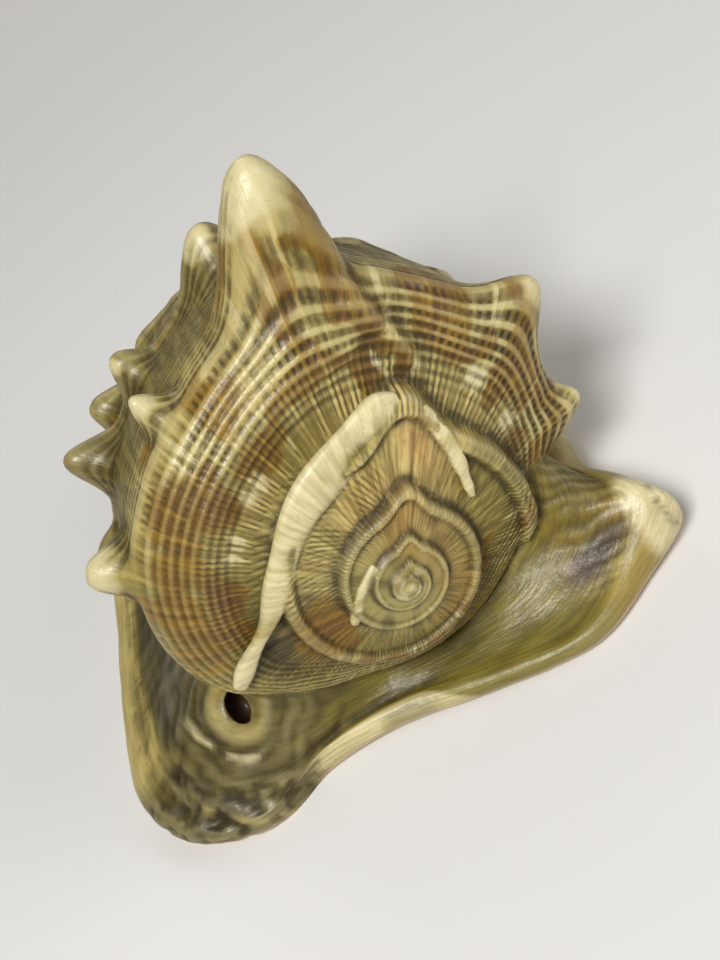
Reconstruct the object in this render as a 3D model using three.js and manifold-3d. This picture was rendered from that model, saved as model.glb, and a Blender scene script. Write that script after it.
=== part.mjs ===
// A king helmet shell at rest on its mouth: spire towards -Y, siphonal canal towards +Y,
// outer lip on +X, parietal shield on -X, back of the shell up.
// It grew as one piece, so it is one solid: whorls, knobs, lip, shield and canal are joined,
// and the mouth and the chamber behind it are cut out.

import * as THREE from 'three';
import { ParametricGeometry } from 'three/addons/geometries/ParametricGeometry.js';
import { mergeVertices } from 'three/addons/utils/BufferGeometryUtils.js';
import Module from 'manifold-3d';

// Driving dimensions, in millimetres and degrees.
const apexHeight = 42;            // tip of the spire above the resting plane
const axisTilt = 10;              // the coiling axis sinks towards the canal
const axisLength = 172;           // from the spire's tip to the end of the body
const whorlExpansion = 1.9;       // growth of the radius in one turn
const sutureRadius = 31;          // last suture, on the back of the shell
const spireSlope = 0.46;          // rise of the spire for each mm of radius
const whorlStep = 0.09;           // height of each whorl's shoulder, for each mm of radius
const varixAngle = 40;            // where each whorl keeps its old thickened lip
const varixSwell = 0.2;
const varixWidth = 15;
const knobLean = 0.14;            // each knob leans towards the spire, for each mm of its height
const whorlCrest = 0.82;          // where a whorl is highest, as a share of the way to its next suture
const faceReach = 0.94;           // where the spire's face ends, as a share of the shoulder's radius
const sideStart = 29;             // where the side of the body begins, along the axis
const sideFullness = 0.8;         // lower is fuller

// Radius of the last whorl's shoulder around the axis, from the back clockwise as seen from the spire.
const shoulderAngles = [-180, -143, -114, -92, -64, -20, 15, 45, 68, 93, 110, 135, 180];
const shoulderRadii = [31, 33, 41, 52, 55, 56.5, 61, 61, 59.5, 54, 46, 34, 31];

// Rows of knobs: angle around the axis, distance along it, tip radius, base radius, foot radius.
const horn = [17, 30, 92.5, 42, 14];
const hornSkirt = [25, 37, 66, 46, 15];
const shoulderKnobs = [
  [-58, 34, 66, 49, 8.5],
  [-19, 33, 66, 49, 6.5],
  [69, 28, 69.5, 42, 12],
  [94, 24, 60, 40, 8],
];
const secondRow = [
  [-72, 66, 60, 44, 8],
  [-45, 65, 65, 46, 8],
  [-20, 65, 63, 46, 8],
  [11, 65, 73.5, 46, 11],
  [42, 64, 61, 44, 9],
  [70, 63, 60, 42, 8],
];
const thirdRow = [
  [-60, 95, 50, 36, 7],
  [-43, 95, 54, 38, 7],
  [-18, 95, 49, 36, 7],
  [10, 95, 51, 38, 8],
  [40, 94, 50, 36, 8],
  [66, 93, 48, 35, 7],
];

// Outline of a knob: share of its foot's radius, share of its height, then how blunt its tip is.
const knobOutline = [[1.15, 0], [1, 0.36], [0.7, 0.66]];
const knobBluntness = 0.38;
const bluntLimit = 6.5;
const knobSides = 7;
const hornSides = 14;

// The flat mouth side: rim of the shield and lip as seen from above, the thickness of the rim,
// and the place where the flare above it runs into the whorl.
const rimStations = [
  // x, y, thickness, then x, y, z of the join
  [60, -3, 18, 30, 15, 27],
  [57, 9, 19, 38, 20, 36],
  [52, 24, 18, 44, 27, 41],
  [56, 48, 16, 42, 50, 34],
  [58, 72, 15, 38, 72, 30],
  [54, 96, 14, 34, 96, 26],
  [46, 122, 12, 25, 118, 20],
  [34, 148, 10, 12, 146, 14],
  [16, 168, 9, 4, 158, 10],
  [-8, 168, 9, -2, 158, 10],
  [-34, 146, 8, -10, 146, 12],
  [-64, 118, 8, -24, 116, 18],
  [-75, 88, 9, -40, 86, 26],
  [-84, 58, 10, -46, 56, 32],
  [-88, 32, 11, -44, 36, 34],
  [-80, 14, 8, -38, 22, 31],
  [-62, 5, 7, -31, 16, 26],
  [-44, 8, 7, -22, 16, 16],
  [-22, 4, 6, -14, 16, 11],
  [2, -6, 6, 0, 16, 10],
  [26, -13, 6, 14, 15, 15],
  [46, -8, 10, 24, 15, 22],
];
// Rings of the plate, from its flat side round the rim: share of the way in to the join, share of
// the rim's thickness. Past the rim the flare rises, steeper towards the join.
const plateRings = [[0.5, -1], [0.12, -0.3], [0.02, 0.1], [0, 0.5], [0.05, 0.86], [0.2, 1.05], [0.5, 1.2]];
const flareStart = 0.2;
const plateMiddle = new THREE.Vector3(0, 75, -8);
const plateCore = 26;             // height of the plate's hidden middle, inside the whorl

// Mouth and chamber.
const mouthPath = [[4, 14, 7], [8, 40, 7.5], [11, 75, 7.5], [9, 105, 7.5], [5, 130, 6.5]];
const mouthDepth = 34;
const channelPath = [[5, 124, 5], [3, 145, 4.5], [3, 166, 4]];
const channelDepth = 11;
const chamberCentre = new THREE.Vector3(4, 72, 39);
const chamberHalf = new THREE.Vector3(40, 50, 30);
const slitReach = 4;              // cuts begin this far below the resting plane

// Ridges beside the mouth: number, half size, side, and their first and last share of the mouth's path.
const teeth = { count: 10, half: new THREE.Vector3(3.2, 1.9, 4), side: 1, first: 0.14, last: 0.84 };
const folds = { count: 9, half: new THREE.Vector3(3.5, 1.3, 3), side: -1, first: 0.2, last: 0.8 };
const ridgeInset = 0.35;          // how far a ridge is sunk into the mouth's edge, in half widths
const ridgeRise = 0.95;           // height of its middle, in half heights

// Siphonal canal, bent up towards the back.
const canalPath = [[3, 134, 14], [3, 152, 10], [3, 165, 13], [2, 171, 22]];
const canalRadii = [15, 12.5, 11, 9];
const borePath = [[4, 120, 14], [3, 148, 10], [3, 164, 14], [2, 173, 28]];
const canalBore = 4.5;

const baseSize = new THREE.Vector3(400, 500, 60);   // room cut away below the resting plane

const tilt = THREE.MathUtils.degToRad(axisTilt);
const along = new THREE.Vector3(0, Math.cos(tilt), -Math.sin(tilt));
const upward = new THREE.Vector3(0, Math.sin(tilt), Math.cos(tilt));
const shoulderCurve = new THREE.CubicInterpolant(shoulderAngles, shoulderRadii, 1);

const wasm = await Module();
wasm.setup();

// A point at a radius, an angle from the back and a distance along the coiling axis.
function onAxis(radius, angle, distance, target = new THREE.Vector3()) {
  const turn = THREE.MathUtils.degToRad(angle);
  target.set(radius * Math.sin(turn), 0, apexHeight);
  target.addScaledVector(upward, radius * Math.cos(turn));
  return target.addScaledVector(along, distance);
}

// Turns a closed geometry into a manifold solid, without its zero-area triangles.
function solidOf(geometry) {
  const bare = geometry.clone();
  bare.deleteAttribute('normal');
  bare.deleteAttribute('uv');
  const merged = mergeVertices(bare, 1e-4);
  const corners = merged.index.array;
  const kept = [];
  for (let i = 0; i < corners.length; i += 3) {
    const [a, b, c] = [corners[i], corners[i + 1], corners[i + 2]];
    if (a !== b && b !== c && c !== a) kept.push(a, b, c);
  }
  return new wasm.Manifold(new wasm.Mesh({
    numProp: 3,
    vertProperties: new Float32Array(merged.attributes.position.array),
    triVerts: new Uint32Array(kept),
  }));
}

// How far a place is through its whorl, from its upper suture (0) to the next one (1).
function whorlPhase(radius, angle) {
  const offset = angle - varixAngle;
  const swell = 1 + varixSwell * Math.exp(-((offset / varixWidth) ** 2));
  const turns = Math.log(radius / (sutureRadius * swell)) / Math.log(whorlExpansion);
  const phase = turns - angle / 360;
  return phase - Math.floor(phase);
}

// Depth of the spire's stepped face behind its tip.
function spireDepth(radius, angle) {
  const phase = whorlPhase(Math.max(radius, 0.5), angle);
  const past = (phase - whorlCrest) / (1 - whorlCrest);
  const rise = past < 0 ? (phase / whorlCrest) ** 1.3 : Math.cos(past * Math.PI / 2);
  return radius * (spireSlope - whorlStep * rise);
}

// The whorls: the stepped face of the spire, then the side of the body down to the canal.
function whorls(rows = 40, columns = 50) {
  const faceShare = 0.52;         // share of the rows that lies on the spire's face
  const surface = (across, around, target) => {
    const angle = 180 - 360 * around;
    const shoulder = shoulderCurve.evaluate(angle)[0];
    if (across < faceShare) {
      const radius = shoulder * faceReach * across / faceShare;
      return onAxis(radius, angle, spireDepth(radius, angle), target);
    }
    const down = (across - faceShare) / (1 - faceShare);
    const distance = sideStart + (axisLength - sideStart) * down;
    const radius = across === 1 ? 0 : shoulder * Math.cos(down * Math.PI / 2) ** sideFullness;
    return onAxis(radius, angle, distance, target);
  };
  return solidOf(new ParametricGeometry(surface, rows, columns));
}

// One knob, pointing straight out from the axis, wide at its foot and round at its tip.
function knob([angle, distance, tip, root, foot], sides = knobSides) {
  const height = tip - root;
  const blunt = Math.min(foot * knobBluntness, bluntLimit);
  const outline = [new THREE.Vector2(0, 0)];
  for (const [wide, high] of knobOutline) outline.push(new THREE.Vector2(foot * wide, height * high));
  outline.push(new THREE.Vector2(blunt, height - blunt * 0.8));
  outline.push(new THREE.Vector2(blunt * 0.6, height - blunt * 0.2));
  outline.push(new THREE.Vector2(0, height));
  const geometry = new THREE.LatheGeometry(outline, sides);
  const start = onAxis(root, angle, distance + knobLean * height);
  const outward = onAxis(tip, angle, distance).sub(start).normalize();
  const turn = new THREE.Quaternion().setFromUnitVectors(new THREE.Vector3(0, 1, 0), outward);
  const place = new THREE.Matrix4().compose(start, turn, new THREE.Vector3(1, 1, 1));
  return solidOf(geometry.applyMatrix4(place));
}

// The shield and the lip: a closed sheet lofted from the mouth side, round the rim, up to the whorl.
function mouthPlate(columns = 52) {
  const rim = new THREE.CatmullRomCurve3(rimStations.map(([x, y, t]) => new THREE.Vector3(x, y, t)), true);
  const join = new THREE.CatmullRomCurve3(
    rimStations.map((s) => new THREE.Vector3(s[3], s[4], s[5])), true);
  const last = plateRings.length + 2;
  const ringPoint = (index, around, target) => {
    if (index === 0) return target.copy(plateMiddle);
    if (index === last) return target.set(plateMiddle.x, plateMiddle.y, plateCore);
    const end = join.getPoint(around);
    if (index === last - 1) return target.copy(end);
    const edge = rim.getPoint(around);
    const [inset, level] = plateRings[index - 1];
    const height = edge.z * level + Math.max(0, inset - flareStart) ** 2 * end.z;
    return target.set(edge.x + (end.x - edge.x) * inset, edge.y + (end.y - edge.y) * inset, height);
  };
  const surface = (across, around, target) => ringPoint(Math.round(across * last), 1 - around, target);
  return solidOf(new ParametricGeometry(surface, last, columns));
}

// A round tube that narrows along a path, closed at both ends.
function taperedTube(path, radii, sides = 14, steps = 10) {
  const curve = new THREE.CatmullRomCurve3(path.map((p) => new THREE.Vector3(...p)));
  const width = new THREE.CubicInterpolant(radii.map((r, i) => i / (radii.length - 1)), radii, 1);
  const frames = curve.computeFrenetFrames(steps + 2);
  const surface = (across, around, target) => {
    const row = Math.round(across * (steps + 2));
    const share = THREE.MathUtils.clamp((row - 1) / steps, 0, 1);
    const closed = row === 0 || row === steps + 2;
    const turn = around * 2 * Math.PI;
    const radius = closed ? 0 : width.evaluate(share)[0];
    target.copy(curve.getPoint(share));
    target.addScaledVector(frames.normals[row], radius * Math.cos(turn));
    return target.addScaledVector(frames.binormals[row], -radius * Math.sin(turn));
  };
  return solidOf(new ParametricGeometry(surface, steps + 2, sides));
}

// A slit along a path of x, y and half width, open to the resting plane.
function slit(path, depth, steps = 14) {
  const middle = new THREE.CatmullRomCurve3(path.map((p) => new THREE.Vector3(...p)));
  const outline = [];
  for (const side of [1, -1]) {
    for (let i = 0; i <= steps; i += 1) {
      const share = side > 0 ? i / steps : 1 - i / steps;
      const place = middle.getPoint(share);
      outline.push(new THREE.Vector2(place.x + side * place.z, place.y));
    }
  }
  const geometry = new THREE.ExtrudeGeometry(new THREE.Shape(outline), {
    depth: depth + slitReach,
    bevelEnabled: false,
    steps: 1,
  });
  geometry.translate(0, 0, -slitReach);
  return solidOf(geometry);
}

// The chamber inside the last whorl.
function chamber() {
  const geometry = new THREE.SphereGeometry(1, 18, 12);
  geometry.scale(chamberHalf.x, chamberHalf.y, chamberHalf.z);
  geometry.rotateX(-tilt);
  geometry.translate(chamberCentre.x, chamberCentre.y, chamberCentre.z);
  return solidOf(geometry);
}

// Ridges along one side of the mouth: teeth on the lip, folds on the columella.
function ridges({ count, half, side, first, last }) {
  const middle = new THREE.CatmullRomCurve3(mouthPath.map((p) => new THREE.Vector3(...p)));
  const made = [];
  for (let i = 0; i < count; i += 1) {
    const place = middle.getPoint(first + (last - first) * i / (count - 1));
    const geometry = new THREE.SphereGeometry(1, 8, 6);
    geometry.scale(half.x, half.y, half.z);
    geometry.translate(place.x + side * (place.z + half.x * ridgeInset), place.y, half.z * ridgeRise);
    made.push(solidOf(geometry));
  }
  return made;
}

// Room below the resting plane, cut away so that the shell lies flat.
function belowPlane() {
  const geometry = new THREE.BoxGeometry(baseSize.x, baseSize.y, baseSize.z);
  geometry.translate(plateMiddle.x, plateMiddle.y, -baseSize.z / 2);
  return solidOf(geometry);
}

function buildShell() {
  let body = whorls();
  for (const place of [...shoulderKnobs, ...secondRow, ...thirdRow]) body = body.add(knob(place));
  body = body.add(knob(hornSkirt, hornSides)).add(knob(horn, hornSides));
  body = body.add(mouthPlate());
  body = body.add(taperedTube(canalPath, canalRadii));
  body = body.subtract(taperedTube(borePath, borePath.map(() => canalBore), 8));
  body = body.subtract(slit(channelPath, channelDepth));
  body = body.subtract(chamber()).subtract(slit(mouthPath, mouthDepth));
  for (const ridge of [...ridges(teeth), ...ridges(folds)]) body = body.add(ridge);
  return body.subtract(belowPlane());
}

// The solid's triangles as a geometry.
function geometryOf(solid) {
  const mesh = solid.getMesh();
  const geometry = new THREE.BufferGeometry();
  geometry.setAttribute('position', new THREE.BufferAttribute(new Float32Array(mesh.vertProperties), 3));
  geometry.setIndex(new THREE.BufferAttribute(new Uint32Array(mesh.triVerts), 1));
  geometry.computeVertexNormals();
  return geometry;
}

const glazedIvory = new THREE.MeshStandardMaterial({ color: 0xc9a66b, roughness: 0.32, metalness: 0 });
const shell = new THREE.Mesh(geometryOf(buildShell()), glazedIvory);
shell.name = 'shell';

// The part's origin is under the middle of its box, on the resting plane.
const part = new THREE.Group();
shell.geometry.computeBoundingBox();
const middle = shell.geometry.boundingBox.getCenter(new THREE.Vector3());
shell.position.set(-middle.x, -middle.y, 0);
part.add(shell);

export default part;
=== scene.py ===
import math

import bpy
import numpy as np
from mathutils import Matrix, Vector, noise


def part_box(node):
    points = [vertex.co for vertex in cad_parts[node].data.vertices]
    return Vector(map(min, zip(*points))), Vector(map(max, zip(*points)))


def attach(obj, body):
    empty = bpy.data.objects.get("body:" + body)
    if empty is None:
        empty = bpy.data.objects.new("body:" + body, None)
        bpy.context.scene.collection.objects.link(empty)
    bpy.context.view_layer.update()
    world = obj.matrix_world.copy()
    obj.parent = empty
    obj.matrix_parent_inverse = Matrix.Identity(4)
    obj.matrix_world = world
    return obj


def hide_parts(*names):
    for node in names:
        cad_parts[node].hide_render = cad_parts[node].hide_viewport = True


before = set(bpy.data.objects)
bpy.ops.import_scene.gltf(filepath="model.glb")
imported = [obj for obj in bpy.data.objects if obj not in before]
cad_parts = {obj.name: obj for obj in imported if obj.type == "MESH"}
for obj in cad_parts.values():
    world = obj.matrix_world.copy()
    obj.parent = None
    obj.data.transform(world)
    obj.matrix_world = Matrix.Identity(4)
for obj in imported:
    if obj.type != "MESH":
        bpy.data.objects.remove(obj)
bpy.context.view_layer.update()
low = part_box("shell")[0]

mm = 0.001

# the shell's own form, in millimetres and degrees, as in the CAD part
shellForm = {
    "fromCorner": (88.1, 12.8),      # spire's tip, from the low corner of the CAD box
    "apexHeight": 42,
    "axisTilt": 10,
    "axisLength": 172,
    "expansion": 1.9,                # growth of the radius in a turn
    "sutureRadius": 31,
    "spireSlope": 0.46,
    "whorlStep": 0.15,
    "varixAngle": 39,
    "varixSwell": 0.24,
    "varixWidth": 13,
    "cornerDepth": 9,
    "shoulderAngles": (-180, -143, -114, -92, -64, -20, 15, 45, 68, 93, 110, 135, 180),
    "shoulderRadii": (31, 33, 41, 52, 55, 56.5, 61, 61, 59.5, 54, 46, 34, 31),
}

tilt = math.radians(shellForm["axisTilt"])
along = np.array([0, math.cos(tilt), -math.sin(tilt)])
upward = np.array([0, math.sin(tilt), math.cos(tilt)])
sideways = np.array([1.0, 0, 0])
apex = np.array([
    low.x / mm + shellForm["fromCorner"][0],
    low.y / mm + shellForm["fromCorner"][1],
    shellForm["apexHeight"],
])
underApex = np.array([apex[0], apex[1], 0])


# cubic through the points of a table, flat at its peaks
def throughPoints(keys, values, x):
    keys = np.asarray(keys, float)
    values = np.asarray(values, float)
    gaps = np.diff(keys)
    slopes = np.diff(values) / gaps
    tangents = np.zeros_like(values)
    same = slopes[:-1] * slopes[1:] > 0
    total = np.where(same, slopes[:-1] + slopes[1:], 1)
    tangents[1:-1] = np.where(same, 2 * slopes[:-1] * slopes[1:] / total, 0)
    tangents[0] = slopes[0]
    tangents[-1] = slopes[-1]
    x = np.clip(x, keys[0], keys[-1])
    i = np.clip(np.searchsorted(keys, x, side="right") - 1, 0, len(keys) - 2)
    t = (x - keys[i]) / gaps[i]
    a = (1 + 2 * t) * (1 - t) ** 2 * values[i] + t * (1 - t) ** 2 * gaps[i] * tangents[i]
    b = t * t * (3 - 2 * t) * values[i + 1] + t * t * (t - 1) * gaps[i] * tangents[i + 1]
    return a + b


# Catmull-Rom curve between the middle two of four rows
def curveBetween(p0, p1, p2, p3, t):
    bend = (2 * p0 - 5 * p1 + 4 * p2 - p3) * t ** 2 + (3 * p1 - p0 - 3 * p2 + p3) * t ** 3
    return 0.5 * (2 * p1 + (p2 - p0) * t + bend)


def closedCurve(rows, share):
    rows = np.asarray(rows, float)
    place = (share % 1) * len(rows)
    i = np.floor(place).astype(int)
    return curveBetween(*(rows[(i + k) % len(rows)] for k in (-1, 0, 1, 2)), (place - i)[:, None])


def openCurve(rows, share):
    rows = np.asarray(rows, float)
    rows = np.vstack([2 * rows[0] - rows[1], rows, 2 * rows[-1] - rows[-2]])
    place = np.clip(share, 0, 1) * (len(rows) - 3)
    i = np.minimum(np.floor(place).astype(int), len(rows) - 4)
    return curveBetween(*(rows[i + k] for k in range(4)), (place - i)[:, None])


def unit(rows):
    return rows / np.linalg.norm(rows, axis=1)[:, None]


# direction of a curve at each share of its way
def directionOf(curve, share):
    return curve(np.minimum(share + 0.01, 1)) - curve(np.maximum(share - 0.01, 0))


# rounds a sine or cosine towards a square
def squarish(wave, power):
    return np.sign(wave) * np.abs(wave) ** power


# points at a radius, angle and distance along the coiling axis, in millimetres
def onAxis(radius, angle, distance):
    turn = np.radians(angle)
    radius, turn, distance = np.broadcast_arrays(radius, turn, distance)
    out = apex + radius[..., None] * (np.sin(turn)[..., None] * sideways + np.cos(turn)[..., None] * upward)
    return out + distance[..., None] * along


# radius, angle and distance along the coiling axis of points in space
def toAxis(points):
    rel = points - apex
    side = rel @ sideways
    up = rel @ upward
    return np.hypot(side, up), np.degrees(np.arctan2(side, up)), rel @ along


def bell(x, width, power=2.0):
    return np.exp(-np.abs(x / width) ** power)


# 1 at a place on two scales, 0 away from it
def spot(x, y, centreX, centreY, halfX, halfY, power=3):
    return bell(np.hypot((x - centreX) / halfX, (y - centreY) / halfY), 1, power)


def smoothStep(x, start, end):
    t = np.clip((x - start) / (end - start), 0, 1)
    return t * t * (3 - 2 * t)


# smooth noise at points, one value for each, about -1 to 1
def cloud(points, size, shift=0.0):
    scaled = points / size + shift
    return np.array([noise.noise(Vector(p)) for p in scaled.tolist()])


def select(obj):
    bpy.ops.object.select_all(action="DESELECT")
    obj.select_set(True)
    bpy.context.view_layer.objects.active = obj


def vertexArray(obj, name="co"):
    flat = np.empty(len(obj.data.vertices) * 3)
    obj.data.vertices.foreach_get(name, flat)
    return flat.reshape(-1, 3)


def setVertices(obj, points):
    obj.data.vertices.foreach_set("co", np.ascontiguousarray(points, float).ravel())
    obj.data.update()


def writeNumbers(obj, name, values):
    layer = obj.data.attributes.get(name) or obj.data.attributes.new(name, "FLOAT", "POINT")
    layer.data.foreach_set("value", np.ascontiguousarray(values, np.float32))


def readNumbers(obj, name):
    out = np.zeros(len(obj.data.vertices), np.float32)
    if name in obj.data.attributes:
        obj.data.attributes[name].data.foreach_get("value", out)
    return out.astype(float)


# place on the source grid, kept at each face's corners so that the joins carry it along
def writePlace(obj, perVertex):
    layer = obj.data.uv_layers.get("place") or obj.data.uv_layers.new(name="place")
    corners = np.empty(len(obj.data.loops), int)
    obj.data.loops.foreach_get("vertex_index", corners)
    layer.data.foreach_set("uv", np.ascontiguousarray(perVertex[corners], np.float32).ravel())


def readPlace(obj):
    flat = np.empty(len(obj.data.loops) * 2, np.float32)
    obj.data.uv_layers["place"].data.foreach_get("uv", flat)
    return flat.reshape(-1, 2).astype(float)


def normalsOf(obj):
    flat = np.empty(len(obj.data.vertices) * 3, np.float32)
    obj.data.vertex_normals.foreach_get("vector", flat)
    return flat.reshape(-1, 3).astype(float)


# moves each vertex along its normal by a distance in millimetres
def liftSkin(obj, lift):
    setVertices(obj, vertexArray(obj) + normalsOf(obj) * lift[:, None] * mm)


# share of the way along a tube, and how far its rounded end caps have opened
def tubeShare(across, end):
    cap = np.minimum(across, 1 - across) / end
    cap = np.where(cap < 0.001, 0, cap.clip(0, 1))
    return np.clip((across - end) / (1 - 2 * end), 0, 1), np.sqrt(1 - (1 - cap) ** 2)


# a flat grid wrapped into a closed skin: place(across, around) gives millimetres for arrays of 0..1
def wrappedGrid(name, rows, columns, place):
    bpy.ops.object.select_all(action="DESELECT")
    bpy.ops.mesh.primitive_grid_add(x_subdivisions=rows, y_subdivisions=columns, size=2)
    obj = bpy.context.object
    obj.name = name
    flat = vertexArray(obj)
    across = (flat[:, 0] + 1) / 2
    around = (flat[:, 1] + 1) / 2
    setVertices(obj, place(across, around) * mm)
    writeNumbers(obj, "across", across)
    writeNumbers(obj, "around", around)
    writePlace(obj, np.column_stack([across, around]))
    bpy.ops.object.mode_set(mode="EDIT")
    bpy.ops.mesh.select_all(action="SELECT")
    bpy.ops.mesh.remove_doubles(threshold=0.000002)
    bpy.ops.mesh.normals_make_consistent(inside=False)
    bpy.ops.object.mode_set(mode="OBJECT")
    return obj


def boolean(obj, other, operation):
    select(obj)
    cut = obj.modifiers.new("join", "BOOLEAN")
    cut.operation = operation
    cut.object = other
    cut.solver = "MANIFOLD"
    cut.material_mode = "TRANSFER"
    bpy.ops.object.modifier_apply(modifier=cut.name)
    if obj.modifiers:
        raise RuntimeError("a join failed: " + other.name)
    bpy.data.objects.remove(other, do_unlink=True)


# region tags: each source solid has its own slot, read back after the joins
regionNames = ("whorl", "plate", "band", "canal", "inside", "tooth", "fold", "pit")
regions = {n: bpy.data.materials.new("region_" + n) for n in regionNames}


def tag(obj, region):
    obj.data.materials.clear()
    obj.data.materials.append(regions[region])


# whorls
whorlLook = {
    "columns": 324,
    "rows": 235,
    "knobLean": 0.12,
    # angle, distance along the axis, tip radius, half width, bluntness
    "knobs": (
        (25, 37, 66, 17.0, 2.0),
        (17, 32, 92.5, 10.5, 2.5),
        (-58, 34, 66, 6.3, 3.2),
        (-19, 33, 66, 3.9, 2.4),
        (69, 28, 70, 8.0, 2.2),
        (97, 26, 60.5, 5.6, 2.2),
        (-72, 66, 60, 5.5, 2.2),
        (-45, 65, 65, 5.6, 2.2),
        (-20, 65, 62, 4.6, 2.2),
        (11, 65, 73.5, 8.5, 2.2),
        (42, 64, 61, 6.5, 2.2),
        (70, 63, 60, 6.0, 2.2),
        (-60, 95, 50, 5.0, 2.2),
        (-43, 95, 54, 5.5, 2.2),
        (-18, 95, 49, 5.5, 2.2),
        (10, 95, 51, 6.5, 2.2),
        (40, 94, 50, 6.0, 2.2),
        (66, 93, 48, 5.5, 2.2),
    ),
}


def shoulderRadius(angle):
    return throughPoints(shellForm["shoulderAngles"], shellForm["shoulderRadii"], angle)


# share of the way through a whorl, and turns out from the last suture
def whorlPhase(radius, angle):
    swell = 1 + shellForm["varixSwell"] * bell(angle - shellForm["varixAngle"], shellForm["varixWidth"])
    grown = np.log(np.maximum(radius, 0.4) / (shellForm["sutureRadius"] * swell))
    turns = grown / math.log(shellForm["expansion"]) - angle / 360
    return turns - np.floor(turns), turns


def spireDepth(radius, angle):
    phase, turns = whorlPhase(radius, angle)
    gentle = 0.5 * (phase / 0.72) ** 1.2
    rise = np.where(phase < 0.72, gentle, 0.5 + 0.5 * smoothStep(phase, 0.72, 0.82))
    rise = rise * np.cos(np.clip((phase - 0.93) / 0.07, 0, 1) * math.pi / 2)
    outer = smoothStep(turns, 0.35, 0.7)
    rise = rise * (1 - outer) + outer * 0.7
    return radius * (shellForm["spireSlope"] - shellForm["whorlStep"] * rise)


def sideRadius(shoulder, down):
    return shoulder * np.clip(np.cos(down * math.pi / 2), 0, 1) ** 0.8


# where the rows lie along the profile: shares below 1 are the spire's face, above 1 the side
def profileShares(count):
    face = 1 - (1 - np.linspace(0, 1, 500)) ** 1.5
    radius = face * 60
    depth = radius * 0.4 + shellForm["cornerDepth"] * (1 - np.sqrt(1 - face ** 10))
    down = np.linspace(0, 1, 500)[1:]
    sideDepth = depth[-1] + (shellForm["axisLength"] - depth[-1]) * down
    shares = np.concatenate([face, 1 + down])
    radius = np.concatenate([radius, sideRadius(60, down)])
    depth = np.concatenate([depth, sideDepth])
    steps = np.hypot(np.diff(radius), np.diff(depth))
    middle = (depth[1:] + depth[:-1]) / 2
    onSide = shares[1:] > 1
    density = np.where(onSide, 1.0 - 0.45 * smoothStep(middle, 60, 110), 1.55)
    travelled = np.concatenate([[0], np.cumsum(steps * density)])
    return np.interp(np.linspace(0, travelled[-1], count), travelled, shares)


# angles of the columns: close together at the horn, wide apart underneath
def columnAngles(count):
    angles = np.linspace(-180, 180, 2000)
    density = 1 - 0.62 * smoothStep(np.abs(angles + 5), 112, 135)
    density += 1.3 * bell(angles - 17, 11) + 0.5 * bell(angles - 69, 9)
    travelled = np.concatenate([[0], np.cumsum((density[1:] + density[:-1]) / 2)])
    return np.interp(np.linspace(0, travelled[-1], count), travelled, angles)


def whorlBase(shares, angle):
    shoulder = shoulderRadius(angle)
    face = np.clip(shares, 0, 1)
    down = np.clip(shares - 1, 0, 1)
    cornerTop = spireDepth(shoulder, angle) + shellForm["cornerDepth"]
    faceRadius = shoulder * face
    faceDepth = spireDepth(faceRadius, angle) + shellForm["cornerDepth"] * (1 - np.sqrt(1 - face ** 10))
    sideDepth = cornerTop + (shellForm["axisLength"] - cornerTop) * down
    onSide = shares > 1
    radius = np.where(onSide, sideRadius(shoulder, down), faceRadius)
    radius = np.where(shares >= 2, 0, radius)
    return radius, np.where(onSide, sideDepth, faceDepth)


def raiseKnobs(points):
    lifted = points.copy()
    for angle, distance, tip, width, blunt in whorlLook["knobs"]:
        turn = math.radians(angle)
        out = math.sin(turn) * sideways + math.cos(turn) * upward
        out = out - whorlLook["knobLean"] * along
        out = out / np.linalg.norm(out)
        tipPoint = onAxis(tip, angle, distance)
        rel = lifted - tipPoint
        height = -(rel @ out)
        off = np.linalg.norm(rel + height[:, None] * out, axis=1)
        foot = off < width * 0.8
        reach = height[foot].min() if foot.any() else 10.0
        near = height < reach + 40
        lifted += np.where(near, reach * bell(off, width, blunt), 0)[:, None] * out
    return lifted


rowShares = profileShares(whorlLook["rows"] + 1)
columnTurns = columnAngles(whorlLook["columns"] + 1)


# profile share and angle of places on the whorls' grid
def whorlPlace(across, around):
    share = np.interp(across, np.linspace(0, 1, len(rowShares)), rowShares)
    angle = np.interp(around, np.linspace(0, 1, len(columnTurns)), columnTurns)
    return share, np.where(angle <= -179.99, 180.0, angle)


# distance along the profile, in millimetres of the largest part of the whorl
def profileDistance(share):
    return np.where(share < 1, share * 60, 60 + (share - 1) * 150)


reliefLook = {
    "cordSpacing": 2.3,
    "cordHeight": 0.22,
    "ribs": 64,                      # on the whorl before the last, in a turn
    "ribHeight": 0.05,
    "ridgeHeight": 3.0,              # old lip, from the horn down to the suture
    "growthHeight": 0.22,
    "keelHeight": 1.3,
}


# where the old lip crosses each profile distance, from the suture up to the horn
def oldLipAngle(run):
    return throughPoints((42, 45, 52, 58, 62, 75), (46, 43, 34, 27.5, 25, 22), run)


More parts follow.
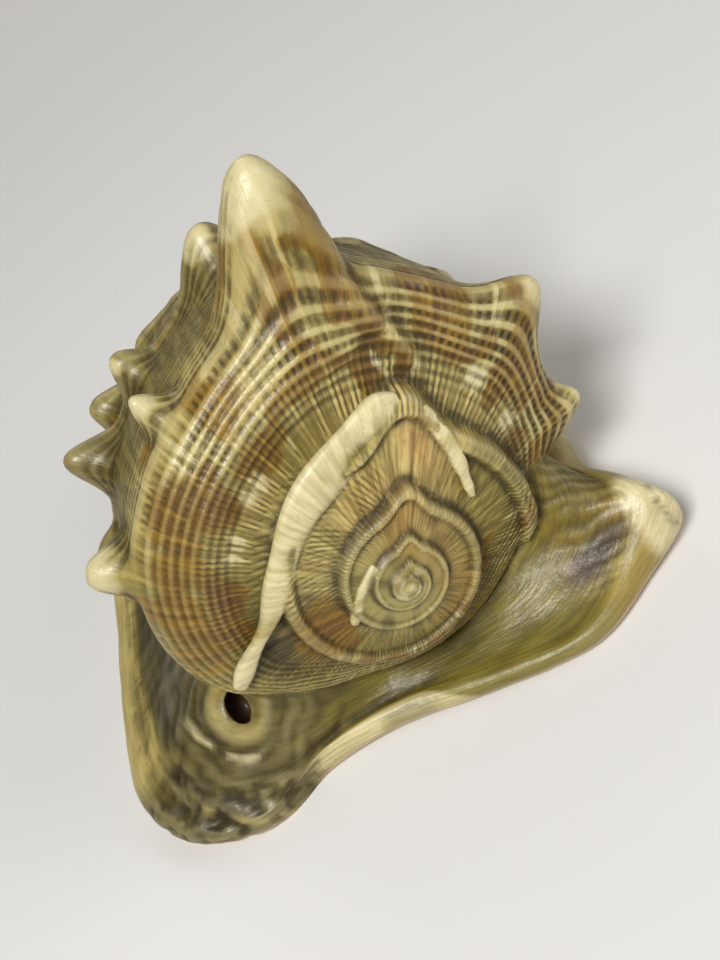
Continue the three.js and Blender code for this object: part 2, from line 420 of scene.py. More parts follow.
def whorlRelief(share, angle, points):
    look = reliefLook
    run = profileDistance(share)
    radius, depth = whorlBase(share, angle)
    phase, turns = whorlPhase(radius, angle)
    onSpire = (turns < 0) & (share < 1)
    cordZone = smoothStep(run, 36, 44) * (1 - smoothStep(run, 195, 208))
    cordZone = cordZone * (1 - 0.6 * smoothStep(run, 120, 160))
    cords = np.cos(run / look["cordSpacing"] * 2 * math.pi)
    out = look["cordHeight"] * cordZone * (cords - 0.2)
    off = angle - oldLipAngle(run)
    ridge = np.where(off < 0, bell(off, 5.5), bell(off, 3.2))
    out += look["ridgeHeight"] * ridge * smoothStep(share, 0.66, 0.8) * (1 - smoothStep(share, 1.0, 1.2))
    skewed = angle + 34 * np.log(np.maximum(radius, 1))
    ribs = np.cos(np.radians(skewed) * look["ribs"])
    away = 1 - bell(angle - shellForm["varixAngle"], 16) * 0.9
    rib = look["ribHeight"] * ribs * onSpire * smoothStep(radius, 11, 17)
    out += rib * away * np.clip(radius / 24, 0, 1) * (1 - smoothStep(phase, 0.6, 0.72))
    keel = sum(bell(depth - row, 2.6) for row in (66, 95, 122))
    out += look["keelHeight"] * keel * (share > 1)
    turn = np.radians(angle)
    growth = np.column_stack([17 * np.sin(turn), 17 * np.cos(turn), run * 0.017])
    out += look["growthHeight"] * cloud(growth, 1.0) * smoothStep(radius, 10, 25)
    out += 0.5 * cloud(points, 16, 3.0) * smoothStep(radius, 12, 35)
    return out


def makeWhorls():
    print("whorls")

    def place(across, around):
        share, angle = whorlPlace(across, around)
        radius, depth = whorlBase(share, angle)
        return raiseKnobs(onAxis(radius, angle, depth))

    obj = wrappedGrid("whorls", whorlLook["rows"], whorlLook["columns"], place)
    share, angle = whorlPlace(readNumbers(obj, "across"), readNumbers(obj, "around"))
    liftSkin(obj, whorlRelief(share, angle, vertexArray(obj) / mm))
    tag(obj, "whorl")
    return obj


# raised white bands along the spire's sutures
bandLook = {
    "sink": 1.3,
    "squareness": 0.75,
    # rows of angle, radius, half width, half height
    "bands": (
        ((-93, 44.5, 1.7, 1.3), (-88, 40.5, 2.1, 1.6), (-80, 34.8, 1.6, 1.6), (-71, 30.6, 2.0, 1.8),
         (-58, 27.8, 3.0, 1.9), (-40, 27.0, 3.5, 1.9), (-20, 28.0, 4.1, 2.0), (0, 29.8, 4.7, 2.0),
         (14, 32.4, 4.9, 2.0), (25, 35.6, 4.6, 2.0), (31, 38.0, 3.8, 1.9), (36, 39.4, 2.2, 1.5)),
        ((44.5, 37.5, 1.3, 1.2), (52, 33.7, 1.7, 1.4), (62, 29.6, 1.7, 1.4),
         (72, 26.0, 1.3, 1.2), (82, 23.6, 0.8, 0.9)),
        ((-97, 14.6, 0.9, 0.8), (-86, 12.6, 1.3, 1.1), (-66, 10.4, 1.1, 1.0), (-45, 9.3, 0.8, 0.8),
         (-20, 8.9, 0.6, 0.6)),
    ),
}


def makeBand(rows):
    def centreOf(share):
        row = openCurve(rows, share)
        crest = row[:, 1] * (shellForm["spireSlope"] - shellForm["whorlStep"])
        return row, onAxis(row[:, 1], row[:, 0], crest + bandLook["sink"])

    def place(across, around):
        share, size = tubeShare(across, 0.05)
        row, centre = centreOf(share)
        size = size * (1 + 0.1 * np.sin(share * 23))
        ahead = unit(directionOf(lambda s: centreOf(s)[1], share))
        side = unit(np.cross(ahead, along))
        turn = around * 2 * math.pi
        wide = size * row[:, 2] * squarish(np.cos(turn), bandLook["squareness"])
        tall = size * row[:, 3] * squarish(np.sin(turn), bandLook["squareness"])
        return centre + wide[:, None] * side + tall[:, None] * np.cross(ahead, side)

    obj = wrappedGrid("band", 110, 20, place)
    tag(obj, "band")
    return obj


# shield and lip
plateLook = {
    "columns": 300,
    "rows": 84,
    # rim x, y, thickness, then the join's x, y, z, then how hollow the slope between them is
    "stations": (
        (60, -3, 18, 30, 15, 27, 1.6),
        (57, 9, 19, 38, 20, 37, 1.15),
        (52, 24, 18, 44, 27, 42, 1.0),
        (56, 48, 16, 42, 50, 34, 1.8),
        (58, 72, 15, 38, 72, 30, 1.8),
        (54, 96, 14, 34, 96, 26, 1.8),
        (46, 122, 12, 25, 118, 20, 1.8),
        (34, 148, 10, 12, 146, 14, 1.8),
        (16, 168, 9, 4, 158, 10, 1.8),
        (-8, 168, 9, -2, 158, 10, 1.8),
        (-34, 146, 8, -10, 146, 12, 1.8),
        (-64, 118, 8, -24, 116, 18, 1.8),
        (-75, 88, 9, -40, 86, 26, 1.8),
        (-84, 58, 10, -46, 56, 32, 1.6),
        (-88, 32, 11, -44, 36, 34, 1.2),
        (-80, 14, 8, -38, 22, 32, 1.0),
        (-62, 5, 7, -31, 16, 27, 1.1),
        (-44, 8, 7, -22, 16, 16, 1.4),
        (-22, 4, 6, -14, 16, 11, 1.6),
        (2, -6, 6, 0, 16, 10, 1.5),
        (26, -13, 6, 14, 15, 15, 1.5),
        (46, -8, 10, 24, 15, 22, 1.5),
    ),
    "middle": (0, 75),
    "core": 24,
    "dish": 2.5,
    # shares of the way across: under side, round rim, top side, then down inside the whorl
    "underEnd": 0.34,
    "rimEnd": 0.54,
    "topEnd": 0.9,
}


# share of the way up the top side, from the rim to the whorl
def insetOf(across):
    return (across - plateLook["rimEnd"]) / (plateLook["topEnd"] - plateLook["rimEnd"])


def plateSurface(across, around):
    look = plateLook
    data = closedCurve(look["stations"], 1 - around)
    edge = data[:, :2] + apex[:2]
    thick = data[:, 2]
    joinPlace = data[:, 3:5] + apex[:2]
    joinHeight = data[:, 5]
    inward = joinPlace - edge
    width = np.linalg.norm(inward, axis=1)
    inward = inward / width[:, None]
    centre = np.array(look["middle"]) + apex[:2]
    half = thick / 2
    onUnder = across < look["underEnd"]
    isHidden = across > look["topEnd"]
    under = np.clip(across / look["underEnd"], 0, 1)
    rim = np.clip((across - look["underEnd"]) / (look["rimEnd"] - look["underEnd"]), 0, 1)
    top = np.clip(insetOf(across), 0, 1)
    hidden = np.clip((across - look["topEnd"]) / (1 - look["topEnd"]), 0, 1)
    turn = (rim - 0.5) * math.pi
    inset = half - half * np.cos(turn)
    level = half + half * np.sin(turn)
    inset = inset + (width - half) * top
    level = level + (joinHeight - thick) * top ** data[:, 6]
    flat = edge + inward * inset[:, None]
    seat = edge + inward * half[:, None]
    flat = np.where(onUnder[:, None], centre + (seat - centre) * under[:, None], flat)
    level = np.where(onUnder, look["dish"] * (1 - under ** 6), level)
    flat = np.where(isHidden[:, None], joinPlace + (centre - joinPlace) * hidden[:, None], flat)
    level = np.where(isHidden, joinHeight + (look["core"] - joinHeight) * hidden, level)
    return np.column_stack([flat, level])


# the pit on the left wing, with growth lines around it
pitLook = {
    "centre": (-50, 23, 22.5),
    "half": (3.2, 4.8, 7),
    "lean": 38,
    "ringRadius": 7.5,
    "arcSpacing": 3.6,
    "arcHeight": 0.14,
}


def fromPit(points):
    rel = points - np.array(pitLook["centre"]) - underApex
    return np.hypot(rel[:, 0] * 1.05, rel[:, 1] * 0.8 + rel[:, 2] * 0.55), rel


def plateRelief(across, points):
    top = smoothStep(across, 0.5, 0.6)
    far, rel = fromPit(points)
    out = 0.9 * bell(far - pitLook["ringRadius"], 2.0) * top
    wing = smoothStep(far, 9, 12) * (1 - smoothStep(far, 38, 46)) * (1 - smoothStep(rel[:, 0], 12, 22))
    wobble = cloud(points, 12) * 3.5 + cloud(points, 4) * 0.8
    arcs = np.cos((far + wobble) / pitLook["arcSpacing"] * 2 * math.pi)
    out += pitLook["arcHeight"] * arcs * top * wing * (1 - smoothStep(rel[:, 1], 14, 30))
    x, y = (points - underApex)[:, :2].T
    lipBack = top * smoothStep(x, 28, 42) * (1 - smoothStep(y, 24, 34))
    wrinkles = np.cos((x * 0.35 + y + 1.5 * cloud(points, 7, 5.0)) / 2.6 * 2 * math.pi)
    out += 0.12 * wrinkles * lipBack
    out += 0.45 * cloud(points * np.array([0.35, 1, 1]), 5, 9.0) * top
    inset = insetOf(across)
    foot = smoothStep(x, -56, -46) * (1 - smoothStep(x, -18, 0)) * (1 - smoothStep(y, 10, 16))
    out -= 0.7 * bell(inset - 0.24, 0.12, 2) * foot
    out += 0.5 * bell(inset - 0.02, 0.09, 3) * foot
    ragged = smoothStep(-x, 44, 56) * (1 - smoothStep(y, 24, 32)) * smoothStep(across, 0.34, 0.42)
    bites = np.clip(cloud(points, 5.5, 5.0), 0, 1) + 0.7 * np.clip(cloud(points, 2.6, 1.0), 0, 1)
    out -= 1.9 * bites * ragged * (1 - smoothStep(across, 0.56, 0.64))
    out += 0.25 * cloud(points, 9, 1.0)
    return out


def makePlate():
    print("shield and lip")
    obj = wrappedGrid("plate", plateLook["rows"], plateLook["columns"], plateSurface)
    liftSkin(obj, plateRelief(readNumbers(obj, "across"), vertexArray(obj) / mm))
    tag(obj, "plate")
    return obj


def makePit():
    pit = ball("pit", pitLook["centre"], pitLook["half"], math.radians(pitLook["lean"]))
    tag(pit, "pit")
    return pit


# siphonal canal
canalLook = {
    "path": ((3, 134, 14), (3, 152, 10), (3, 165, 13), (2, 171, 22)),
    "radii": (15, 12.5, 11, 9),
    "flatness": 0.9,
    "bore": ((4, 120, 14), (3, 148, 10), (3, 164, 14), (2, 173, 28)),
    "boreRadius": 5.6,
    "boreFlatness": 0.62,
    "wave": 1.6,
    "wrinkle": 0.7,
}


# a tube of changing radius along a path, closed at its ends
def tube(name, path, radii, rows, columns, flatten=1.0):
    shares = np.linspace(0, 1, len(radii))

    def place(across, around):
        share, size = tubeShare(across, 0.06)
        ahead = unit(directionOf(lambda s: openCurve(path, s), share))
        side = unit(sideways - (ahead @ sideways)[:, None] * ahead)
        radius = throughPoints(shares, radii, share) * size
        turn = around * 2 * math.pi
        out = np.cos(turn)[:, None] * side + flatten * np.sin(turn)[:, None] * np.cross(ahead, side)
        return openCurve(path, share) + radius[:, None] * out + underApex

    return wrappedGrid(name, rows, columns, place)


def makeCanal():
    print("canal")
    obj = tube("canal", canalLook["path"], canalLook["radii"], 40, 48, canalLook["flatness"])
    points = vertexArray(obj) / mm
    liftSkin(obj, canalLook["wave"] * cloud(points, 11, 2.0) + canalLook["wrinkle"] * cloud(points, 4, 6.0))
    tag(obj, "canal")
    return obj


# mouth and chamber
mouthLook = {
    "path": ((4, 14, 7), (8, 40, 7.5), (11, 75, 7.5), (9, 105, 7.5), (5, 130, 6.5)),
    "depth": 34,
    "channel": ((5, 124, 5), (3, 145, 4.5), (3, 166, 4)),
    "channelDepth": 11,
    "chamber": (4, 72, 39),
    "chamberHalf": (40, 50, 30),
    "teeth": 10,
    "toothHalf": (3.2, 1.9, 4),
    "folds": 9,
    "foldHalf": (3.5, 1.3, 3),
}


# a slot with a rounded roof along a path of x, y and half width
def slot(name, path, depth, rows=60, columns=48):
    def place(across, around):
        share, size = tubeShare(across, 0.08)
        row = openCurve(path, share)
        ahead = unit(directionOf(lambda s: openCurve(path, s)[:, :2], share))
        side = np.column_stack([ahead[:, 1], -ahead[:, 0]])
        turn = around * 2 * math.pi
        wide = row[:, 2] * size * squarish(np.cos(turn), 0.6)
        tall = squarish(np.sin(turn), 0.6) * (size > 0)
        flat = row[:, :2] + side * wide[:, None] + apex[:2]
        return np.column_stack([flat, depth / 2 - 6 + (depth / 2 + 6) * tall])

    return wrappedGrid(name, rows, columns, place)


def ball(name, centre, half, turn=0.0, segments=32, rings=20):
    bpy.ops.object.select_all(action="DESELECT")
    bpy.ops.mesh.primitive_uv_sphere_add(segments=segments, ring_count=rings, radius=1)
    obj = bpy.context.object
    obj.name = name
    obj.data.uv_layers[0].name = "place"
    points = vertexArray(obj) * np.array(half)
    spin = np.array(Matrix.Rotation(turn, 3, "X"))
    setVertices(obj, (points @ spin.T + np.array(centre) + underApex) * mm)
    return obj


def cutMouth(shell):
    print("mouth and chamber")
    look = mouthLook
    bore = tube("bore", canalLook["bore"], [canalLook["boreRadius"]] * 4, 30, 24,
                canalLook["boreFlatness"])
    hollow = ball("hollow", look["chamber"], look["chamberHalf"], -tilt, 64, 40)
    slit = slot("slit", look["path"], look["depth"])
    channel = slot("channel", look["channel"], look["channelDepth"], 30, 32)
    for cutter in (bore, hollow, slit, channel):
        tag(cutter, "inside")
        boolean(shell, cutter, "DIFFERENCE")
    for count, half, side, region, first, last in (
            (look["teeth"], look["toothHalf"], 1, "tooth", 0.14, 0.84),
            (look["folds"], look["foldHalf"], -1, "fold", 0.2, 0.8)):
        shares = np.linspace(first, last, count)
        for row in openCurve(look["path"], shares):
            x = row[0] + side * (row[2] + half[0] * 0.35)
            piece = ball("ridge", (x, row[1], half[2] * 0.95), half, 0.0, 16, 10)
            tag(piece, region)
            boolean(shell, piece, "UNION")


# join everything
def makeShell():
    shell = makeWhorls()
    boolean(shell, makePlate(), "UNION")
    print("bands and pit")
    for rows in bandLook["bands"]:
        boolean(shell, makeBand(rows), "UNION")
    boolean(shell, makePit(), "DIFFERENCE")
    boolean(shell, makeCanal(), "UNION")
    cutMouth(shell)
    bpy.ops.object.select_all(action="DESELECT")
    bpy.ops.mesh.primitive_cube_add(size=1, location=(0, 0, -0.05), scale=(1, 1, 0.1))
    under = bpy.context.object
    bpy.ops.object.transform_apply(location=True, rotation=True, scale=True)
    under.data.uv_layers[0].name = "place"
    tag(under, "plate")
    boolean(shell, under, "DIFFERENCE")
    shell.name = "helmetShell"
    return shell


shell = makeShell()
print("triangles", sum(len(p.vertices) - 2 for p in shell.data.polygons))
select(shell)
bpy.ops.object.shade_smooth()


# what each corner and vertex belongs to, and how the skin bends there
class Skin:
    def __init__(self, obj):
        mesh = obj.data
        self.obj = obj
        self.count = len(mesh.vertices)
        self.points = vertexArray(obj) / mm
        self.normals = normalsOf(obj)
        self.corners = np.empty(len(mesh.loops), int)
        mesh.loops.foreach_get("vertex_index", self.corners)
        edges = np.empty(len(mesh.edges) * 2, int)
        mesh.edges.foreach_get("vertices", edges)
        self.edges = edges.reshape(-1, 2)
        self.degree = np.bincount(self.edges.ravel(), minlength=self.count).clip(1)
        slots = np.empty(len(mesh.polygons), int)
        mesh.polygons.foreach_get("material_index", slots)
        sizes = np.empty(len(mesh.polygons), int)
        mesh.polygons.foreach_get("loop_total", sizes)
        names = [slot.name.replace("region_", "") for slot in mesh.materials]
        self.cornerRegion = np.array(names)[np.repeat(slots, sizes)]
        self.place = readPlace(obj)

    # mean of the neighbours' values, some times over
    def smooth(self, values, times=1):
        first, second = self.edges.T
        for _ in range(times):
            total = np.bincount(first, values[second], self.count)
            total += np.bincount(second, values[first], self.count)
            values = 0.5 * values + 0.5 * total / self.degree
        return values

    def fromCorners(self, values, default=0.0):
        used = ~np.isnan(values)
        total = np.bincount(self.corners[used], values[used], self.count)
        number = np.bincount(self.corners[used], minlength=self.count)
        return np.where(number > 0, total / np.maximum(number, 1), default)

    def share(self, *names, smoothing=3):
        return self.smooth(self.fromCorners(np.isin(self.cornerRegion, names).astype(float)), smoothing)

    # how far the skin lies below its own smoothed form: above 0 in grooves, below 0 on ridges
    def hollow(self, times):
        moved = [self.smooth(self.points[:, axis], times) - self.points[:, axis] for axis in range(3)]
        return sum(moved[axis] * self.normals[:, axis] for axis in range(3))


# angle and profile distance for each corner and vertex of the shell
def formOf(skin):
    share = whorlPlace(skin.place[:, 0], skin.place[:, 1])[0]
    angle = np.interp(skin.place[:, 1], np.linspace(0, 1, len(columnTurns)), columnTurns)
    run = profileDistance(share)
    onWhorl = skin.cornerRegion == "whorl"
    radius, turn, depth = toAxis(skin.points)
    shoulder = shoulderRadius(turn)
    cornerTop = spireDepth(shoulder, turn) + shellForm["cornerDepth"]
    down = np.clip((depth - cornerTop) / (shellForm["axisLength"] - cornerTop), 0, 1)
    guess = np.where(depth > cornerTop, 60 + 150 * down, np.minimum(radius / shoulder, 1) * 60)
    cornerAngle = np.where(onWhorl, angle, turn[skin.corners])
    cornerRun = np.where(onWhorl, run, guess[skin.corners])
    vertexRun = skin.fromCorners(cornerRun)
    sine = skin.fromCorners(np.sin(np.radians(cornerAngle)))
    cosine = skin.fromCorners(np.cos(np.radians(cornerAngle)))
    return cornerAngle, cornerRun, np.degrees(np.arctan2(sine, cosine)), vertexRun


# painted marks: angle around the axis, profile distance, half sizes of both, strength, redness
paintLook = {
    "brown": (
        (-61, 41, 7, 4.5, 1.0, 0.9), (-31, 46, 7, 5, 0.95, 0.7), (-36, 54, 8, 3.5, 0.95, 0.8),
        (-44, 50, 7, 3.5, 0.7, 0.4), (-66, 53, 8, 5, 0.75, 0.5), (-74, 44, 6, 6, 0.7, 0.5),
        (-52, 46, 5, 4, 0.6, 0.3), (-9, 42, 8, 4, 0.85, 0.5), (-9, 56, 6, 4.5, 0.85, 0.3),
        (14, 55, 3.0, 5, 0.7, 0.6), (14, 47, 11, 2.5, 0.7, 0.4), (2, 46, 5, 2.5, 0.6, 0.2),
        (30, 43.5, 3.2, 4, 1.1, 0.7),
        (49, 57, 6, 8, 1.1, 0.9), (56, 49, 4, 3, 0.8, 0.8), (76, 51, 7, 4.5, 1.0, 0.7),
        (71, 43.5, 3.2, 3, 1.1, 0.6), (91, 42.5, 3.5, 3.2, 1.1, 0.5), (66, 60.5, 3, 3, 0.9, 0.4),
        (25, 58.5, 2.2, 5, 1.2, 0.2), (29, 55.5, 2.2, 4, 1.2, 0.35), (34, 50.5, 2.4, 4.5, 1.2, 0.4),
        (40, 43.5, 2.2, 3, 1.2, 0.7), (29, 42, 2.2, 2.2, 1.2, 0.8), (100, 50, 5, 4, 0.7, 0.4),
        (52, 55, 3, 4, 1.1, 0.6), (72, 49, 5, 5, 1.1, 0.6), (71, 55, 3, 4, 1.0, 0.4),
        (-52, 53, 6, 3.5, 0.8, 0.5), (-24, 50, 5, 3.5, 0.6, 0.3), (-66, 60, 5, 5, 0.6, 0.3),
        (-80, 52, 6, 6, 0.6, 0.4), (60, 52, 3, 3, 0.7, 0.9),
        (-91, 21, 12, 4, 0.9, 0.6), (-110, 27, 8, 3.5, 0.8, 0.7), (-143, 41, 7, 2.6, 1.0, 0.7),
        (-172, 40.5, 7, 2.6, 1.0, 0.8), (158, 38, 6, 2.4, 0.8, 0.6), (-126, 37, 6, 2.5, 0.6, 0.5),
        (134, 40, 7, 3, 0.8, 0.3), (112, 46, 6, 3.5, 0.8, 0.3), (120, 33, 9, 3, 0.5, 0.2),
        (6, 74, 5, 5, 0.8, 0.0), (26, 60, 3.2, 6, 0.9, 0.1), (8, 66, 4, 3, 0.7, 0.0),
        (24, 66, 3, 6, 0.8, 0.1), (18, 80, 4, 4, 0.6, 0.1), (-70, 64, 6, 4, 0.7, 0.3),
        (-26, 64, 6, 3, 0.6, 0.0), (86, 55, 7, 3.5, 0.8, 0.6), (104, 52, 8, 4, 0.7, 0.5),
        (70, 68, 5, 6, 0.7, 0.2),
    ),
    "white": (
        (-43, 39, 5, 3.2, 1.0), (-20, 40, 6, 2.6, 0.9), (1, 38, 6, 1.8, 0.5), (33.3, 44.5, 1.5, 4.0, 1.1),
        (46.5, 44, 3, 3.4, 1.0), (63, 45, 3.4, 3.2, 1.1), (81, 43.4, 3, 2.6, 1.1), (61, 56.5, 3.5, 4, 0.8),
        (38, 56, 3, 5, 0.7), (84, 50, 4, 5, 0.7),
        (-158, 40, 6, 2.2, 0.9), (170, 38, 5, 2.2, 0.8), (-134, 52, 7, 3, 0.7), (146, 36, 6, 2.5, 0.5),
        (112, 38, 5, 4, 0.6), (17, 68, 6, 8, 0.7), (10, 59, 5, 3, 0.5),
        (21, 50, 4.5, 6, 0.55), (-22, 57, 2.4, 5, 0.7), (36, 60, 3, 6, 0.6), (104, 45, 4, 3, 0.6),
    ),
    # knob tips: angle, distance along the axis, radius, size of the white cap
    "tips": (
        (17, 31, 90, 12), (15, 33, 80, 6), (-58, 34, 64, 8.5), (-19, 33, 65, 5.5), (70, 27, 68, 5.5),
        (96, 27, 60, 4.5), (8, 63, 70, 6), (-21, 64, 61, 2.6), (42, 64, 60, 4), (70, 63, 59, 4),
    ),
    # dark spots on the wing: x, y, z from the spire's foot, size
    "wingSpots": (
        (-70, 19, 14, 3.5), (-67, 12, 10, 4.0), (-64, 8, 8.6, 3.2), (-59, 22, 20, 2.6), (-75, 26, 13, 3),
        (-40, 15, 24, 4.5), (-45, 13, 18, 3),
    ),
    "cordSpacing": 2.3,
    "threadAngle": 2.0,
}

palette = {
    "ivory": (0.72, 0.64, 0.38),
    "cream": (0.52, 0.43, 0.17),
    "cordCream": (0.62, 0.53, 0.26),
    "oldCream": (0.38, 0.325, 0.12),
    "olive": (0.215, 0.175, 0.03),
    "grey": (0.12, 0.102, 0.03),
    "golden": (0.23, 0.135, 0.015),
    "amber": (0.34, 0.205, 0.02),
    "yellow": (0.42, 0.33, 0.095),
    "redBrown": (0.15, 0.062, 0.008),
    "umber": (0.040, 0.027, 0.008),
    "mauve": (0.12, 0.085, 0.06),
    "peach": (0.58, 0.34, 0.14),
    "enamel": (0.66, 0.49, 0.27),
}


def dabs(rows, angle, run, column=4):
    out = np.zeros_like(run)
    for row in rows:
        off = (angle - row[0] + 180) % 360 - 180
        dab = spot(off, run, 0, row[1], row[2] * 1.25, row[3] * 1.25)
        out = np.maximum(out, dab * row[column])
    return out


def makePaint(skin):
    print("markings")
    cornerAngle, cornerRun, angle, run = formOf(skin)
    mesh = skin.obj.data
    form = mesh.uv_layers.new(name="form")
    pair = np.column_stack([cornerRun / 100, cornerAngle / 360])
    onPlate = skin.cornerRegion == "plate"
    pair[onPlate] = np.column_stack([skin.place[:, 1] * 6, skin.place[:, 0] * 0.42])[onPlate]
    form.data.foreach_set("uv", pair.astype(np.float32).ravel())
    points = skin.points
    design = points - underApex
    x, y, z = design.T
    radius, turn = toAxis(points)[:2]

    whorl = skin.share("whorl")
    plate = skin.share("plate")
    band = skin.share("band", smoothing=2)
    inside = skin.share("inside", smoothing=2)
    tooth = skin.share("tooth", "fold", smoothing=1)
    pit = skin.share("pit", smoothing=1)

    wander = angle + 4 * cloud(points, 7)
    drift = run + 1.6 * cloud(points, 7, 11.0)
    brown = dabs(paintLook["brown"], wander, drift)
    red = dabs([row[:4] + (row[5],) for row in paintLook["brown"]], wander, drift)
    white = dabs(paintLook["white"], wander, drift)
    besideLip = wander - oldLipAngle(run)
    crestLight = bell(besideLip - 1.8, 1.6, 4) * smoothStep(run, 44, 48) * (1 - smoothStep(run, 59, 62))
    white = np.maximum(white, 0.45 * crestLight)
    # the back and the sides, with flames of brown between the rows of knobs
    around = np.radians(angle)
    flame = np.column_stack([6.4 * np.sin(around), 6.4 * np.cos(around), run / 26])
    flames = smoothStep(cloud(flame, 1.0) + 0.5 * cloud(points, 9, 4.0), -0.1, 0.35)
    body = smoothStep(run, 64, 76) * (0.2 + 0.7 * smoothStep(run, 90, 120))
    brown = np.maximum(brown, flames * body)
    lipBar = bell(besideLip + 3.6, 2.6, 4) * smoothStep(run, 43, 47) * (1 - smoothStep(run, 58, 61))
    brown = np.maximum(brown, 1.1 * lipBar)
    red = np.maximum(red, 0.55 * lipBar)
    red = np.where(run > 76, 0.3 + 0.5 * cloud(points, 22, 2.0), red)
    # the spire's older whorls are bleached, with a brown patch towards the shield
    old = 1 - smoothStep(radius, 13, 20)
    spirePatch = bell(np.hypot(x + 21, (y - 6) * 1.2 + (z - 44) * 0.8), 8, 3)
    brown = np.maximum(brown, 0.8 * spirePatch)
    phase, turns = whorlPhase(radius, turn)
    # where the grooves of the sutures lie, for the painted shade below
    suture = bell(np.minimum(phase, 1 - phase), 0.07 + 0.25 / np.maximum(radius, 2))
    suture = suture * (turns < -0.1) * (run < 58) * smoothStep(radius, 1.2, 2.5)
    suture = suture * (0.6 + 0.6 * cloud(points, 6, 12.0))
    pink = bell(np.hypot(x - 8, (y - 8) * 1.2), 9, 2) * (radius < 24)

    tips = np.zeros_like(run)
    for angleTip, distance, tip, size in paintLook["tips"]:
        far = np.linalg.norm(points - onAxis(tip, angleTip, distance), axis=1)
        far += 0.22 * size * cloud(points, 4, 7.0)
        tips = np.maximum(tips, 1 - smoothStep(far, size * 0.35, size * 1.35))

    # painted shade: umber darkens the fine grooves and the broad valleys, through the shade mask
    groove = np.clip(skin.hollow(5) / 0.09, 0, 1)
    valley = np.clip(skin.hollow(40) / 0.9, 0, 1)
    crest = np.clip(-skin.hollow(14) / 0.35, 0, 1)
    enamel = np.clip(plate + tooth + (z < 2.5), 0, 1) * smoothStep(-skin.normals[:, 2], 0.0, 0.5)
    enamel = enamel * (z < 14) * (1 - inside)

    colour = np.tile(np.array(palette["cream"]), (len(run), 1))

    def paint(name, mask):
        nonlocal colour
        mask = np.clip(mask, 0, 1)[:, None]
        colour = colour * (1 - mask) + np.array(palette[name]) * mask

    # patches of a size in millimetres: none where the noise is below low, full above high
    def patchy(size, shift, low, high, stretch=1.0):
        return smoothStep(cloud(points * stretch, size, shift), low, high)

    # ground colours of the whorls, from broad zones
    paint("olive", 0.25 + 0.6 * cloud(points, 18, 5.0))
    paint("olive", 0.6 * bell(angle + 65, 28) * (run > 30))
    paint("olive", 0.65 * smoothStep(run, 62, 70) * (1 - 0.8 * spot(angle, run, 14, 62, 22, 22)))
    paint("olive", 0.3 * (run > 48) * (run < 66) * bell(angle - 75, 30))
    paint("grey", 0.45 * smoothStep(run, 66, 76) * (1 - 0.6 * smoothStep(run, 95, 120)))
    paint("oldCream", old * 0.85)
    paint("grey", old * patchy(5, 2.0, 0.0, 0.5) * 0.75)
    spire = (run < 55) * (1 - plate)
    paint("cream", smoothStep(radius, 14, 19) * (radius < 30) * 0.55 * spire * bell(angle, 50, 4))
    paint("olive", smoothStep(radius, 12, 18) * spire * smoothStep(np.abs(angle), 60, 110) * 0.8)
    paint("redBrown", spirePatch * 0.6)
    paint("amber", 0.55 * spot(x, y, 7, 9, 7, 7) * spire * patchy(5, 4.0, -0.3, 0.2))
    paint("peach", pink * 0.3)
    paint("cream", spot(x, z, 19.3, 62.5, 5.5, 9, 4) * (y < 22) * spire)
    paint("peach", spot(x, z, 20.5, 60, 3.5, 7) * (y < 22) * spire * 0.55)
    paint("cream", bell(phase - 0.86, 0.06) * (radius < 28) * spire * patchy(8, 9.0, -0.3, 0.3) * 0.7)
    # painted shade: umber along the spire's sutures, in the grooves between the whorls
    paint("umber", suture * spire * 0.9)
    # painted shadow: umber in the hollow just inside the main band, where it lies in shade
    shadowUnderBand = np.clip(spot(angle, run, -90, 36, 19, 11) + spot(angle, run, -66, 24, 9, 4), 0, 1)
    paint("umber", shadowUnderBand * patchy(7, 15.0, -0.8, 0.1) * spire * 0.8)
    # painted highlight: ivory glints on the nucleus at the spire's tip
    paint("ivory", bell(radius, 4.2, 3) * spire * patchy(2.5, 3.0, -0.3, 0.3) * 0.8)

    # wing, shield and lip, seen from above
    far, rel = fromPit(points)
    spread = far - 0.42 * np.maximum(rel[:, 1], 0)
    inset = skin.fromCorners(np.where(onPlate, insetOf(skin.place[:, 0]), np.nan))
    left = plate * smoothStep(-x, 50, 60) * smoothStep(y, 24, 34)
    wing = plate * smoothStep(-x, 40, 48) * (1 - smoothStep(y, 28, 36)) * (z < 34)
    foot = plate * smoothStep(x, -50, -42) * (1 - smoothStep(y, 9, 15))
    lip = plate * smoothStep(x, 26, 36) * (1 - smoothStep(y, 24, 44))
    paint("olive", plate)
    rimWidth = 0.2 - 0.1 * smoothStep(y, 40, 80)
    paint("grey", left * smoothStep(inset, rimWidth, rimWidth + 0.07))
    flecks = 0.45 + 0.4 * cloud(points, 10, 2.0)
    paint("umber", left * smoothStep(inset, rimWidth, rimWidth + 0.05) * flecks)
    paint("yellow", left * (1 - smoothStep(inset, rimWidth - 0.02, rimWidth + 0.03)))
    paint("cream", left * bell(inset - 0.03, 0.11) * 0.8)
    paint("grey", wing * 0.9)
    mottle = cloud(points * np.array([1, 1, 1.4]), 6, 8.0) + 0.5 * cloud(points, 2.4, 3.0)
    paint("umber", wing * smoothStep(mottle, 0.05, 0.4) * 0.7)
    for place in paintLook["wingSpots"]:
        away = np.linalg.norm(design - np.array(place[:3]), axis=1)
        paint("umber", 0.85 * bell(away / place[3], 1, 3) * plate)
    paint("yellow", wing * bell(far - 6.8, 2.4) * 0.75)
    paint("umber", wing * bell(far - 10.2, 1.2) * 0.4)
    paint("ivory", wing * bell(spread - 12.4, 0.8, 3) * patchy(6, 0.0, -0.5, 0.1) * 0.9)
    paint("cream", wing * bell(spread - 20, 0.8, 3) * patchy(5, 2.0, -0.2, 0.3) * 0.5)
